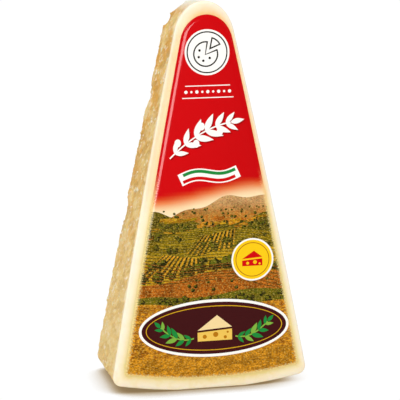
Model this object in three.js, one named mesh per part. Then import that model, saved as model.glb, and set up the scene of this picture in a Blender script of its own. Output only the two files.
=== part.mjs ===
// A prepacked wedge of hard sheep's-milk cheese, standing upright on its rind.
//
// The wedge is a slice of a round wheel: its base is a short arc of the wheel's rim, its two
// long sides are radial cuts, and its tip is trimmed round. The front face is smooth, falls
// away softly at its edges and carries a printed label. The sides and the back are cut faces,
// broken and craggy. The slice is thicker at the rind than at the tip.
//
// Units are millimetres, +Z is up, and the label faces -Y.

import * as THREE from 'three';
import { ImprovedNoise } from 'three/addons/math/ImprovedNoise.js';
import { mergeVertices } from 'three/addons/utils/BufferGeometryUtils.js';

// ---- Driving dimensions ----------------------------------------------------------------

const DEGREE = Math.PI / 180;

// Outline of the wedge, seen from the front.
const CHEESE = {
  height: 138, // floor to tip
  base: 0, // floor to the lowest point of the rim
  rimRadius: 175, // radius of the wheel that the wedge was cut from
  footHalfWidth: 12, // the rim is pressed flat where the wedge stands
  halfAngle: 11.5 * DEGREE, // between the middle line and a cut side
  tipHalfWidth: 10.95, // the trimmed tip is half an ellipse
  tipStretch: 1.28, // its height over its half width
  cornerRadius: 3.2, // between the rim and a cut side
  bow: 0.67, // how far a side bulges past a straight line
};

// Outline of the label, on the same middle line.
const LABEL = {
  height: 133.3,
  base: 4.0,
  rimRadius: 170.6,
  footHalfWidth: 6,
  halfAngle: 10.9 * DEGREE,
  tipHalfWidth: 9.6,
  tipStretch: 1.17,
  cornerRadius: 2.4,
  bow: 0.3,
};

const BASE_THICKNESS = 42.4; // at the rind
const TIP_THICKNESS = 24.6; // at the tip
const BACK_HOLLOW = 1.2; // how far the back dips between rind and tip
const CROWN_REACH = 4.5; // the front face falls away over this distance from its edge
const CROWN_DEPTH = 1.5; // and by this much at the edge
const BACK_ROUND = 2.4; // radius along the back edge

const LABEL_THICKNESS = 0.25;
const LABEL_GAP = 0.3; // between the label and the cheese

// Relief of the cut faces: broad crags, and finer flakes that run steeply down the face.
const CRAG = { depth: 0.8, size: 10 };
const FLAKE = { depth: 0.6, size: 4.5, stretch: 2.2, lean: 24 * DEGREE };
const RELIEF_FADE = { start: 0.5, full: 3 }; // measured back from the smooth front
const FLOOR_FADE = { start: 0.1, full: 3 }; // measured up from the floor
const TIP_FADE = { start: 0.5, full: 9 }; // measured down from the top of the tip

// Chips out of the two back edges: the side, the height, the radius and the depth of each.
const CHIPS = [
  { side: -1, height: 131, radius: 7, depth: 1.7 },
  { side: -1, height: 104, radius: 5, depth: 0.9 },
  { side: -1, height: 62, radius: 5, depth: 0.7 },
  { side: 1, height: 118, radius: 7, depth: 1.4 },
  { side: 1, height: 47, radius: 6, depth: 1.1 },
];

// Grids of the two solids: divisions across, through the thickness and up the height.
const CHEESE_GRID = { across: 20, through: 16, up: 52 };
const LABEL_GRID = { across: 12, through: 1, up: 30 };
const EDGE_CROWDING = 1.5; // over 1, the grid of a face gathers towards its outline
const OUTLINE_POINTS = 400; // points of half an outline that distances are measured to

// ---- Outline ---------------------------------------------------------------------------

// The right half of an outline as one path, from the middle of the foot along the rim, round
// the corner, up the side and over the tip. Both of its ends lie on the middle line.
function halfOutline(size) {
  const { height, base, rimRadius, footHalfWidth, halfAngle, cornerRadius, bow } = size;
  const footAngle = Math.asin(footHalfWidth / rimRadius);
  const rimCentre = new THREE.Vector2(0, base + rimRadius * Math.cos(footAngle));
  const tipWidth = size.tipHalfWidth;
  const tipHeight = tipWidth * size.tipStretch;
  const tipCentre = new THREE.Vector2(0, height - tipHeight);

  // The side leaves the tip where the ellipse has the side's direction.
  const down = new THREE.Vector2(Math.sin(halfAngle), -Math.cos(halfAngle));
  const outward = new THREE.Vector2(Math.cos(halfAngle), Math.sin(halfAngle));
  const shoulder = Math.atan(size.tipStretch * Math.tan(halfAngle));
  const sideTop = new THREE.Vector2(tipWidth * Math.cos(shoulder), tipHeight * Math.sin(shoulder));
  sideTop.add(tipCentre);

  // The corner's circle touches the side and, from inside, the rim.
  const fromRim = sideTop.clone().addScaledVector(outward, -cornerRadius).sub(rimCentre);
  const along = fromRim.dot(down);
  const excess = fromRim.lengthSq() - (rimRadius - cornerRadius) ** 2;
  const toCorner = fromRim.clone().addScaledVector(down, Math.sqrt(along ** 2 - excess) - along);
  const corner = toCorner.clone().add(rimCentre);
  const rimEnd = toCorner.angle() - 2 * Math.PI;
  const sideFoot = corner.clone().addScaledVector(outward, cornerRadius);
  const bulge = sideFoot.clone().lerp(sideTop, 0.5).addScaledVector(outward, 2 * bow);

  const path = new THREE.CurvePath();
  const foot = new THREE.Vector2(footHalfWidth, base);
  path.add(new THREE.LineCurve(new THREE.Vector2(0, base), foot));
  path.add(new THREE.EllipseCurve(
    rimCentre.x, rimCentre.y, rimRadius, rimRadius, footAngle - Math.PI / 2, rimEnd));
  path.add(new THREE.EllipseCurve(
    corner.x, corner.y, cornerRadius, cornerRadius, rimEnd, halfAngle));
  path.add(new THREE.QuadraticBezierCurve(sideFoot, bulge, sideTop));
  path.add(new THREE.EllipseCurve(
    tipCentre.x, tipCentre.y, tipWidth, tipHeight, shoulder, Math.PI / 2));

  const [, rim, bend, side, whole] = path.getCurveLengths();
  return { path, whole, lowerCorner: (rim + bend) / 2, upperCorner: (side + whole) / 2 };
}

// The point of the outline for a point on the border of the square from -1 to 1: the
// square's bottom edge is the rim, its upright edges are the sides, its top edge is the tip.
function outlinePoint(half, u, v) {
  const { path, whole, lowerCorner, upperCorner } = half;
  let length = THREE.MathUtils.mapLinear(v, -1, 1, lowerCorner, upperCorner);
  if (v <= -1) length = Math.abs(u) * lowerCorner;
  if (v >= 1) length = whole - Math.abs(u) * (whole - upperCorner);
  const point = path.getPointAt(length / whole);
  return new THREE.Vector2(Math.sign(u) * point.x, point.y);
}

// Distance from a point of the front plane to a half outline, mirrored where x is negative.
function distanceTo(points, x, z) {
  let nearest = Infinity;
  for (let i = 1; i < points.length; i++) {
    const from = points[i - 1];
    const run = points[i].clone().sub(from);
    const offset = new THREE.Vector2(Math.abs(x), z).sub(from);
    const share = THREE.MathUtils.clamp(offset.dot(run) / run.lengthSq(), 0, 1);
    nearest = Math.min(nearest, offset.addScaledVector(run, -share).length());
  }
  return nearest;
}

// ---- Faces -----------------------------------------------------------------------------

const cheeseHalf = halfOutline(CHEESE);
const cheeseEdge = cheeseHalf.path.getSpacedPoints(OUTLINE_POINTS);

// How far an elliptical rounding of this reach and depth has dropped at a distance inside
// the outline.
function rounding(inside, reach, depth) {
  const share = Math.max(0, 1 - inside / reach);
  return depth * (1 - Math.sqrt(1 - share ** 2));
}

function frontFace(inside) {
  return rounding(inside, CROWN_REACH, CROWN_DEPTH);
}

function backFace(inside, z) {
  const share = z / CHEESE.height;
  const thickness = THREE.MathUtils.lerp(BASE_THICKNESS, TIP_THICKNESS, share);
  const hollow = BACK_HOLLOW * 4 * share * (1 - share);
  return thickness - hollow - rounding(inside, BACK_ROUND, BACK_ROUND);
}

// A solid that fills an outline between two faces, made from a box whose square section is
// stretched to the outline ring by ring. The faces are functions of the distance inside the
// cheese's outline and of the height.
function fillOutline(size, grid, front, back) {
  const half = halfOutline(size);
  const centre = new THREE.Vector2(0, size.height / 2);
  const box = new THREE.BoxGeometry(2, 2, 2, grid.across, grid.through, grid.up);
  box.deleteAttribute('normal');
  box.deleteAttribute('uv');
  const geometry = mergeVertices(box);
  const position = geometry.getAttribute('position');
  for (let i = 0; i < position.count; i++) {
    const [u, w, v] = [position.getX(i), position.getY(i), position.getZ(i)];
    const ring = Math.max(Math.abs(u), Math.abs(v));
    const place = centre.clone();
    if (ring > 0) {
      const border = outlinePoint(half, u / ring, v / ring);
      place.lerp(border, 1 - (1 - ring) ** EDGE_CROWDING);
    }
    const inside = distanceTo(cheeseEdge, place.x, place.y);
    const y = THREE.MathUtils.mapLinear(w, -1, 1, front(inside), back(inside, place.y));
    position.setXYZ(i, place.x, y, place.y);
  }
  return geometry;
}

// ---- Relief ----------------------------------------------------------------------------

const noise = new ImprovedNoise();

// Where the middle of a chip lies on its back edge.
function chipCentre({ side, height }) {
  const sides = cheeseEdge.filter((point) => point.y > CHEESE.cornerRadius * 2);
  const gap = (point) => Math.abs(point.y - height);
  const edge = sides.reduce((best, point) => (gap(point) < gap(best) ? point : best));
  return new THREE.Vector3(side * edge.x, backFace(BACK_ROUND, height), height);
}

// How deep the chips bite at a point.
function chipDepth(point) {
  let deepest = 0;
  for (const chip of CHIPS) {
    const share = chipCentre(chip).distanceTo(point) / chip.radius;
    deepest = Math.max(deepest, chip.depth * Math.max(0, 1 - share ** 2));
  }
  return deepest;
}

// How far the broken surface stands proud of the smooth one, where it isn't faded out.
function cragHeight({ x, y, z }) {
  const crag = noise.noise(x / CRAG.size, y / CRAG.size, z / CRAG.size);
  const along = z * Math.cos(FLAKE.lean) + y * Math.sin(FLAKE.lean);
  const across = y * Math.cos(FLAKE.lean) - z * Math.sin(FLAKE.lean);
  const long = FLAKE.size * FLAKE.stretch;
  const flake = noise.noise(x / FLAKE.size, across / FLAKE.size, along / long);
  return crag * CRAG.depth + flake * FLAKE.depth;
}

// How much of the relief a point has. The front face, the foot and the tip stay smooth.
function reliefShare({ y, z }) {
  const { smoothstep } = THREE.MathUtils;
  return smoothstep(y - CROWN_DEPTH, RELIEF_FADE.start, RELIEF_FADE.full)
    * smoothstep(z, FLOOR_FADE.start, FLOOR_FADE.full)
    * smoothstep(CHEESE.height - z, TIP_FADE.start, TIP_FADE.full);
}

// Moves the cut faces in and out along their normals.
function roughen(geometry) {
  const smooth = geometry.clone();
  smooth.computeVertexNormals();
  const position = geometry.getAttribute('position');
  for (let i = 0; i < position.count; i++) {
    const point = new THREE.Vector3().fromBufferAttribute(position, i);
    const normal = new THREE.Vector3().fromBufferAttribute(smooth.getAttribute('normal'), i);
    point.addScaledVector(normal, reliefShare(point) * cragHeight(point) - chipDepth(point));
    position.setXYZ(i, point.x, point.y, point.z);
  }
}

// ---- Pieces ----------------------------------------------------------------------------

function makeCheese() {
  const geometry = fillOutline(CHEESE, CHEESE_GRID, frontFace, backFace);
  roughen(geometry);
  const material = new THREE.MeshStandardMaterial({ color: 0xe6cc96, roughness: 0.65, metalness: 0 });
  const cheese = new THREE.Mesh(geometry, material);
  cheese.name = 'cheese';
  return cheese;
}

function makeLabel() {
  const underside = (inside) => frontFace(inside) - LABEL_GAP;
  const printed = (inside) => underside(inside) - LABEL_THICKNESS;
  const geometry = fillOutline(LABEL, LABEL_GRID, printed, underside);
  const material = new THREE.MeshStandardMaterial({ color: 0xd2100f, roughness: 0.3, metalness: 0 });
  const label = new THREE.Mesh(geometry, material);
  label.name = 'label';
  return label;
}

// The wedge stands on the floor at z = 0, with the origin under the middle of its box.
const wedge = new THREE.Group();
wedge.add(makeCheese(), makeLabel());
const bounds = new THREE.Box3().setFromObject(wedge, true);
const middle = bounds.getCenter(new THREE.Vector3());
wedge.position.set(-middle.x, -middle.y, -bounds.min.z);

const part = new THREE.Group();
part.add(wedge);

export default part;
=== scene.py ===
"""A prepacked wedge of hard sheep's-milk cheese with a printed label, in a plain studio.

Lengths are in metres. The wedge stands on the floor at z = 0, its label faces -Y, and +X is
on the right of someone who looks at the label.
"""

import math
import random

import bmesh
import bpy
import numpy as np
from bpy.props import FloatProperty, FloatVectorProperty, IntProperty, PointerProperty
from mathutils import Matrix, Vector
from mathutils.geometry import delaunay_2d_cdt


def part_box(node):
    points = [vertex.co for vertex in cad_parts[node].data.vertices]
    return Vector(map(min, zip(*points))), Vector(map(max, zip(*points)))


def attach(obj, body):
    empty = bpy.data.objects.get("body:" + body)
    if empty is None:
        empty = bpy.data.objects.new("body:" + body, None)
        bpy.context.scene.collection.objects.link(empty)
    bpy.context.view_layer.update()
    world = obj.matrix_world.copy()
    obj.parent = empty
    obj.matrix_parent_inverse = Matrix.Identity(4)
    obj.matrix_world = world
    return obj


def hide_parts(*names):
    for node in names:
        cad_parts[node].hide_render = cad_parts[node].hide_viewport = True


bl_info = {
    "name": "Cheese Wedge",
    "version": (1, 0, 0),
    "blender": (4, 5, 0),
    "location": "3D View > Sidebar > Cheese",
    "description": "Makes a labelled wedge of hard cheese and a studio to show it in",
    "category": "Add Mesh",
}

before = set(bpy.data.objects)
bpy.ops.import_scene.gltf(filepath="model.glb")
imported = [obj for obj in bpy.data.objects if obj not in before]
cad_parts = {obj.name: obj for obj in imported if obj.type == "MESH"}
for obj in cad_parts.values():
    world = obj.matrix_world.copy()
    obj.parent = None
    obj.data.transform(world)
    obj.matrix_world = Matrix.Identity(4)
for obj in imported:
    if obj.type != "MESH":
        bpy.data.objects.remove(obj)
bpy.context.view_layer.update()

MM = 0.001
CHEESE_LOW, CHEESE_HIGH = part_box("cheese")
LABEL_LOW, LABEL_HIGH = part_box("label")
MIDDLE_X = (LABEL_LOW.x + LABEL_HIGH.x) / 2
FRONT_Y = CHEESE_LOW.y
HEIGHT = CHEESE_HIGH.z


# ---- Settings ---------------------------------------------------------------------------


def linear(code):
    """A colour as linear numbers, from the six hexadecimal digits of its sRGB form."""
    values = []
    for start in (0, 2, 4):
        value = int(code[start : start + 2], 16) / 255
        dark = value <= 0.04045
        values.append(value / 12.92 if dark else ((value + 0.055) / 1.055) ** 2.4)
    return tuple(values)


def length(name, default, description):
    return FloatProperty(
        name=name, description=description, default=default * MM, unit="LENGTH", precision=5
    )


def angle(name, default, description):
    return FloatProperty(
        name=name, description=description, default=math.radians(default), subtype="ANGLE"
    )


def factor(name, default, description):
    return FloatProperty(name=name, description=description, default=default)


def colour(name, code, description):
    return FloatVectorProperty(
        name=name, description=description, default=linear(code), subtype="COLOR", min=0, max=1
    )


class WedgeSettings(bpy.types.PropertyGroup):
    """Form of the wedge, in millimetres here and in metres in Blender."""

    rim_radius: length("Wheel radius", 175, "Radius of the wheel that the wedge was cut from")
    foot_half_width: length("Foot", 12, "Half the width of the flat that the wedge stands on")
    half_angle: angle("Half angle", 11.5, "Between the middle line and a cut side")
    tip_half_width: length("Tip", 10.95, "Half the width of the trimmed tip")
    tip_stretch: factor("Tip stretch", 1.28, "Height of the tip's rounding over its half width")
    corner_radius: length("Corner", 3.2, "Radius between the rind and a cut side")
    bow: length("Bow", 0.67, "How far a side bulges past a straight line")
    base_thickness: length("Thickness at rind", 42.4, "From front to back at the rind")
    tip_thickness: length("Thickness at tip", 24.6, "From front to back at the tip")
    back_hollow: length("Back hollow", 1.2, "How far the back dips between rind and tip")
    crown_reach: length("Crown reach", 4.5, "How far in from its edge the front falls away")
    crown_depth: length("Crown depth", 1.5, "How far the front has fallen at its edge")
    back_round: length("Back edge", 1.6, "Radius along the back edge")


class CutFaceSettings(bpy.types.PropertyGroup):
    """Relief and colours of the broken faces."""

    crag_depth: length("Crag depth", 0.2, "Depth of the broad crags")
    crag_size: length("Crag size", 11, "Width of the broad crags")
    setback: length("Set back", 0.15, "How far the broken surface lies inside the smooth form")
    flake_depth: length("Flake depth", 0.4, "Step between two flakes")
    flake_size: length("Flake size", 3.2, "Width of a flake")
    flake_stretch: factor("Flake stretch", 2.4, "Length of a flake over its width")
    flake_lean: angle("Flake lean", 18, "Rise of the flakes towards the front")
    grain_depth: length("Grain depth", 0.24, "Depth of the fine grain")
    grain_size: length("Grain size", 0.9, "Width of the fine grain")
    seed: IntProperty(name="Seed", description="Changes where crags and flakes fall", default=7)
    fleck_density: factor("Fleck density", 9000, "Pale flecks on a square metre")
    fleck_size: length("Fleck size", 1.1, "Half the length of the largest fleck")
    paste: colour("Paste", "efcc7e", "Colour of a cut face")
    golden: colour("Golden", "e4a73d", "Colour of its drier, oilier parts")
    pale: colour("Pale", "fbeac4", "Colour of fresh breaks and flecks")
    # Also painted shade: the deep parts of the relief are darkened with it. It colours the dark
    # streaks too.
    hollow: colour("Hollow", "c2923c", "Colour deep in the relief")
    rim_gold: colour("Edge gold", "fbd684", "Colour of the cut face next to the front")
    # Painted highlight: the top of the tip is made paler, as if lit from above.
    tip_highlight_colour: colour("Tip", "fff7e2", "Colour of the dry tip")
    rind: colour("Rind", "e3c88e", "Colour of the rim")
    # Painted light: a warm glow of the label's red on the front beside it.
    front: colour("Front", "fcf2e0", "Colour of the smooth front")
    front_red_glow: colour("Front, warm", "fccb8a", "Colour of the front beside the label's red")
    front_straw: colour("Front, straw", "efd994", "Colour of the front beside the label's fields")


class LabelSettings(bpy.types.PropertyGroup):
    """Form and inks of the label."""

    side_angle: angle("Side angle", 10.9, "Between the middle line and the label's side")
    tip_half_width: length("Tip", 9.6, "Half the width of the label's top")
    tip_stretch: factor("Tip stretch", 1.17, "Height of the top's rounding over its half width")
    corner_radius: length("Corner", 1.4, "Radius of the lower corners")
    bow: length("Bow", 0.45, "How far a side bulges past a straight line")
    foot_half_width: length("Foot", 6, "Half the width of the straight middle of the lower edge")
    across: length("Across", 0.5, "How far right of the wedge's middle line the label sits")
    edge_reach: length("Edge reach", 1.8, "How far in the label starts to bend back to its edge")
    edge_drop: length("Edge drop", 0.38, "How far its edge lies behind its middle")
    red: colour("Red", "d0030a", "Ground of the upper half")
    # It is also the painted shade along the upper left edge of the red.
    shadow_red: colour("Shadow red", "9c0205", "Shadow beside the white ornament")
    sky: colour("Sky", "fbe3b8", "Ground behind the fields")
    white: colour("White", "fbfbf8", "White ink")
    black: colour("Black", "18130f", "Black ink")
    brown: colour("Brown", "421517", "Ground of the plaque")
    gold: colour("Gold", "f8cc14", "Yellow of the badge")
    green: colour("Green", "1f8a3c", "Green of the ribbon and the leaves")


class StudioSettings(bpy.types.PropertyGroup):
    """Camera and lights."""

    azimuth: angle("Azimuth", 11.94, "How far the camera stands to the left of the label")
    elevation: angle("Elevation", 7.894, "How far the camera looks down")
    roll: angle("Roll", -1.076, "Turn of the camera about its own axis")
    distance: length("Distance", 563.84, "From the camera to the point it looks at")
    aim_across: length("Aim across", -2.89, "How far off the middle line the camera looks")
    aim_height: length("Aim height", 68.37, "How high the camera looks")
    lens: FloatProperty(name="Lens", description="Focal length", default=144, unit="CAMERA")
    surround: factor("Surround", 0.37, "Strength of the soft light from all round")
    floor_glow: factor("Floor glow", 1.02, "Brightness of the table to the eye")
    # The dark line and the shade round the wedge are painted into the table's glow.
    shade_reach: length("Shade reach", 1.2, "How far the dark line round the wedge reaches")
    front_shade_reach: length("Front shade reach", 18, "How far the shade in front reaches")


# ---- Outlines ---------------------------------------------------------------------------

WELD_DISTANCE = 1e-7
RING_SHARE = 0.97  # a shrunk ring keeps the points that moved in by this share or more
CHUNK = 2000  # points that are measured at a time, to save memory


def circle(angles):
    """Points at some angles on a circle of radius 1."""
    return np.column_stack([np.cos(angles), np.sin(angles)])


def arc(centre, radii, start, end, count=60):
    """Points along part of an ellipse."""
    return circle(np.linspace(start, end, count)) * radii + centre


def slice_outline(shape, height, base, rim_radius, half_angle):
    """The outline of a slice of a wheel with a rounded tip, as a closed ring of points in
    the plane of the front. It runs from the middle of the foot to the right and up."""
    tip_height = shape.tip_half_width * shape.tip_stretch
    tip_centre = np.array([0, height - tip_height])
    foot_angle = math.asin(shape.foot_half_width / rim_radius)
    rim_centre = np.array([0, base + rim_radius * math.cos(foot_angle)])
    down = np.array([math.sin(half_angle), -math.cos(half_angle)])
    outward = np.array([math.cos(half_angle), math.sin(half_angle)])

    # The side leaves the tip's ellipse where the ellipse has the side's direction.
    shoulder = math.atan(shape.tip_stretch * math.tan(half_angle))
    tip_radii = np.array([shape.tip_half_width, tip_height])
    side_top = tip_centre + tip_radii * [math.cos(shoulder), math.sin(shoulder)]

    # The corner's circle touches the side and, from inside, the rim.
    corner_radius = shape.corner_radius
    from_rim = side_top - outward * corner_radius - rim_centre
    along = from_rim @ down
    excess = from_rim @ from_rim - (rim_radius - corner_radius) ** 2
    to_corner = from_rim + down * (math.sqrt(along**2 - excess) - along)
    corner = rim_centre + to_corner
    rim_end = math.atan2(to_corner[1], to_corner[0])
    side_foot = corner + outward * corner_radius
    share = np.linspace(0, 1, 60)[:, None]
    bulge = outward * shape.bow * 4 * share * (1 - share)
    side = side_foot + (side_top - side_foot) * share + bulge

    half = np.vstack([
        [[0, base]],
        arc(rim_centre, rim_radius, foot_angle - math.pi / 2, rim_end),
        arc(corner, corner_radius, rim_end, half_angle)[1:],
        side[1:],
        arc(tip_centre, tip_radii, shoulder, math.pi / 2)[1:],
    ])
    return np.vstack([half, half[-2:0:-1] * [-1, 1]])


def spaced(ring, count):
    """Evenly spaced points along a closed ring."""
    closed = np.vstack([ring, ring[:1]])
    steps = np.linalg.norm(np.diff(closed, axis=0), axis=1)
    travelled = np.concatenate([[0], np.cumsum(steps)])
    wanted = np.arange(count) / count * travelled[-1]
    return np.column_stack([np.interp(wanted, travelled, closed[:, k]) for k in (0, 1)])


def distance_to(ring, points):
    """How far each point is from a closed ring."""
    run = np.roll(ring, -1, axis=0) - ring
    squared = (run**2).sum(1)
    nearest = np.empty(len(points))
    for first in range(0, len(points), CHUNK):
        offset = points[first : first + CHUNK, None] - ring
        share = np.clip((offset * run).sum(2) / squared, 0, 1)
        gap = offset - share[..., None] * run
        nearest[first : first + CHUNK] = np.sqrt((gap**2).sum(2).min(1))
    return nearest


def contains(ring, points):
    """Which points lie inside a closed ring."""
    inside = np.zeros(len(points), bool)
    for (x0, z0), (x1, z1) in zip(ring, np.roll(ring, -1, axis=0)):
        if z0 == z1:
            continue
        spans = (points[:, 1] >= min(z0, z1)) & (points[:, 1] < max(z0, z1))
        crossing = x0 + (points[:, 1] - z0) * (x1 - x0) / (z1 - z0)
        inside ^= spans & (points[:, 0] < crossing)
    return inside


def rings_within(ring, insets):
    """Copies of a closed ring, each shrunk by one of the insets, without what would cross."""
    along = np.roll(ring, -1, axis=0) - np.roll(ring, 1, axis=0)
    inward = np.column_stack([-along[:, 1], along[:, 0]])
    inward /= np.linalg.norm(inward, axis=1)[:, None]
    shrunk = []
    for inset in insets:
        moved = ring + inward * inset
        shrunk.append(moved[distance_to(ring, moved) > RING_SHARE * inset])
    return np.vstack(shrunk)


def grid_within(ring, spacing, margin):
    """A grid of points in equilateral triangles that stays a margin inside a closed ring."""
    low = ring.min(0)
    high = ring.max(0)
    row_height = spacing * math.sqrt(3) / 2
    rows = []
    for row, z in enumerate(np.arange(low[1], high[1], row_height)):
        across = np.arange(low[0] + (row % 2) * spacing / 2, high[0], spacing)
        rows.append(np.column_stack([across, np.full(len(across), z)]))
    points = np.vstack(rows)
    points = points[contains(ring, points)]
    return points[distance_to(ring, points) > margin]


def anticlockwise(ring):
    """The same closed ring, turned round if it runs clockwise."""
    x, z = ring.T
    doubled_area = (x * np.roll(z, -1) - np.roll(x, -1) * z).sum()
    return ring if doubled_area > 0 else ring[::-1]


def triangulate(ring, loose, shapes=()):
    """Fills a closed ring with triangles that use the loose points and follow the outlines
    of the shapes. Gives points, triangles and the topmost shape of each triangle, where 0
    is the ring itself."""
    outlines = [ring, *(anticlockwise(shape) for shape in shapes)]
    faces = []
    first = 0
    for outline in outlines:
        faces.append(list(range(first, first + len(outline))))
        first += len(outline)
    points = [Vector(p) for p in np.vstack([*outlines, loose])]
    made = delaunay_2d_cdt(points, [], faces, 1, WELD_DISTANCE, True)
    triangles = []
    topmost = []
    for triangle, owners in zip(made[2], made[5]):
        if 0 in owners:
            triangles.append(triangle)
            topmost.append(max(owners))
    used, triangles = np.unique(triangles, return_inverse=True)
    corners = np.array([list(p) for p in made[0]])[used]
    return corners, triangles.reshape(-1, 3), np.array(topmost)


# ---- Form of the wedge --------------------------------------------------------------------


def rounding(inside, reach, depth):
    """How far an elliptical rounding has dropped at a distance inside the outline."""
    share = np.clip(1 - inside / reach, 0, 1)
    return depth * (1 - np.sqrt(1 - share**2))


def smoothstep(value, low, high):
    """A share that rises smoothly from 0 at low to 1 at high."""
    share = np.clip((value - low) / (high - low), 0, 1)
    return share * share * (3 - 2 * share)


class WedgeForm:
    """The smooth wedge: its outline and its two faces."""

    def __init__(self, settings):
        self.settings = settings
        self.ring = slice_outline(settings, HEIGHT, 0, settings.rim_radius, settings.half_angle)

    def front(self, inside):
        s = self.settings
        return FRONT_Y + rounding(inside, s.crown_reach, s.crown_depth)

    def back(self, inside, z):
        s = self.settings
        share = z / HEIGHT
        thickness = s.base_thickness + (s.tip_thickness - s.base_thickness) * share
        hollow = s.back_hollow * 4 * share * (1 - share)
        return FRONT_Y + thickness - hollow - rounding(inside, s.back_round, s.back_round)


def place(flat, y):
    """Points of the front plane, set at a depth and put on the wedge's middle line."""
    return np.column_stack([flat[:, 0] + MIDDLE_X, y, flat[:, 1]])


def new_object(name, mesh):
    piece = bpy.data.objects.new(name, mesh)
    bpy.context.scene.collection.objects.link(piece)
    return piece


def build_mesh(name, parts):
    """One mesh from parts, each of which is its points and its faces."""
    points = np.vstack([part[0] for part in parts])
    faces = []
    first = 0
    for corners, part_faces in parts:
        faces.extend((np.asarray(part_faces) + first).tolist())
        first += len(corners)
    mesh = bpy.data.meshes.new(name)
    mesh.from_pydata(points.tolist(), [], faces)
    return mesh


def store(mesh, name, numbers, domain="POINT"):
    """Keeps a number for each point of a mesh, or for each corner of its faces."""
    mesh.attributes.new(name, "FLOAT", domain).data.foreach_set("value", numbers)


def weld(mesh):
    """Joins points that lie on each other, and shades the mesh smoothly."""
    welded = bmesh.new()
    welded.from_mesh(mesh)
    bmesh.ops.remove_doubles(welded, verts=welded.verts, dist=WELD_DISTANCE)
    welded.to_mesh(mesh)
    welded.free()
    mesh.polygons.foreach_set("use_smooth", [True] * len(mesh.polygons))


# Chips out of the two back edges, in millimetres: side, height, radius, reach towards the
# front and depth.
CHIPS = (
    (-1, 136.2, 3.5, 8.0, 1.5),
    (-1, 131.6, 2.5, 6.5, 1.6),
    (-1, 104, 5, 5, 0.9),
    (-1, 62, 5, 5, 0.7),
    (1, 118, 7, 7, 1.4),
    (1, 47, 6, 6, 1.1),
)
CHIP_STEEPNESS = 1.6
COLUMN_COUNT = 690
ROW_COUNT = 84
FRONT_INSETS = (0.12, 0.4, 0.8, 1.3, 1.9, 2.5, 3.2, 3.9, 4.5)
BACK_INSETS = (0.1, 0.35, 0.7, 1.1, 1.5)
FRONT_SPACING = 3.0 * MM
BACK_SPACING = 0.75 * MM
ALMOST_ZERO = 1e-9  # metres, so that nothing is divided by zero
RIND_SMOOTHNESS = 0.55  # share of the relief that the rind lacks
# Each fade starts at its first distance and is complete at its second one.
CUT_FADE = (0.1 * MM, 1.6 * MM)  # behind the front's edge, from smooth to broken
TONE_FADE = (-1.3 * MM, 3.2 * MM)  # the same for its colour
RIND_FADE = (0.3 * MM, 0.9 * MM)  # off the rim, from rind to paste
FOOT_FADE = (0.1 * MM, 3 * MM)  # relief above the floor
TIP_FADE = (0.5 * MM, 9 * MM)  # relief below the top


def chip_depth(form, points):
    """How deep the chips bite at each point."""
    bite = np.zeros(len(points))
    upper = form.ring[form.ring[:, 1] > 2 * form.settings.corner_radius]
    inside = np.array([form.settings.back_round])
    for side, height, radius, reach, depth in CHIPS:
        edge = upper[np.abs(upper[:, 1] - height * MM).argmin()]
        centre = [
            side * abs(edge[0]) + MIDDLE_X,
            form.back(inside, np.array([height * MM]))[0],
            height * MM,
        ]
        radii = np.array([radius, reach, radius]) * MM
        share = np.linalg.norm((points - centre) / radii, axis=1)
        bite = np.maximum(bite, depth * MM * np.clip(CHIP_STEEPNESS * (1 - share**2), 0, 1))
    return bite


def wedge_band(form, ring):
    """Points and faces of the band round the wedge, from the front edge to the back edge."""
    edge = np.zeros(COLUMN_COUNT)
    front_edge = form.front(edge)
    back_edge = form.back(edge, ring[:, 1])
    rows = []
    for row in range(ROW_COUNT + 1):
        rows.append(place(ring, front_edge + (back_edge - front_edge) * row / ROW_COUNT))
    here = np.arange(COLUMN_COUNT)
    beside = (here + 1) % COLUMN_COUNT
    quads = []
    for row in range(ROW_COUNT):
        near, far = row * COLUMN_COUNT, (row + 1) * COLUMN_COUNT
        quads.append(np.column_stack([here + near, here + far, beside + far, beside + near]))
    return np.vstack(rows), np.vstack(quads)


def filled(ring, insets, spacing, margin, shapes=()):
    """Fills a closed ring with triangles that are finer along its edge."""
    rings = rings_within(ring, np.array(insets) * MM)
    return triangulate(ring, np.vstack([rings, grid_within(ring, spacing, margin)]), shapes)


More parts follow.
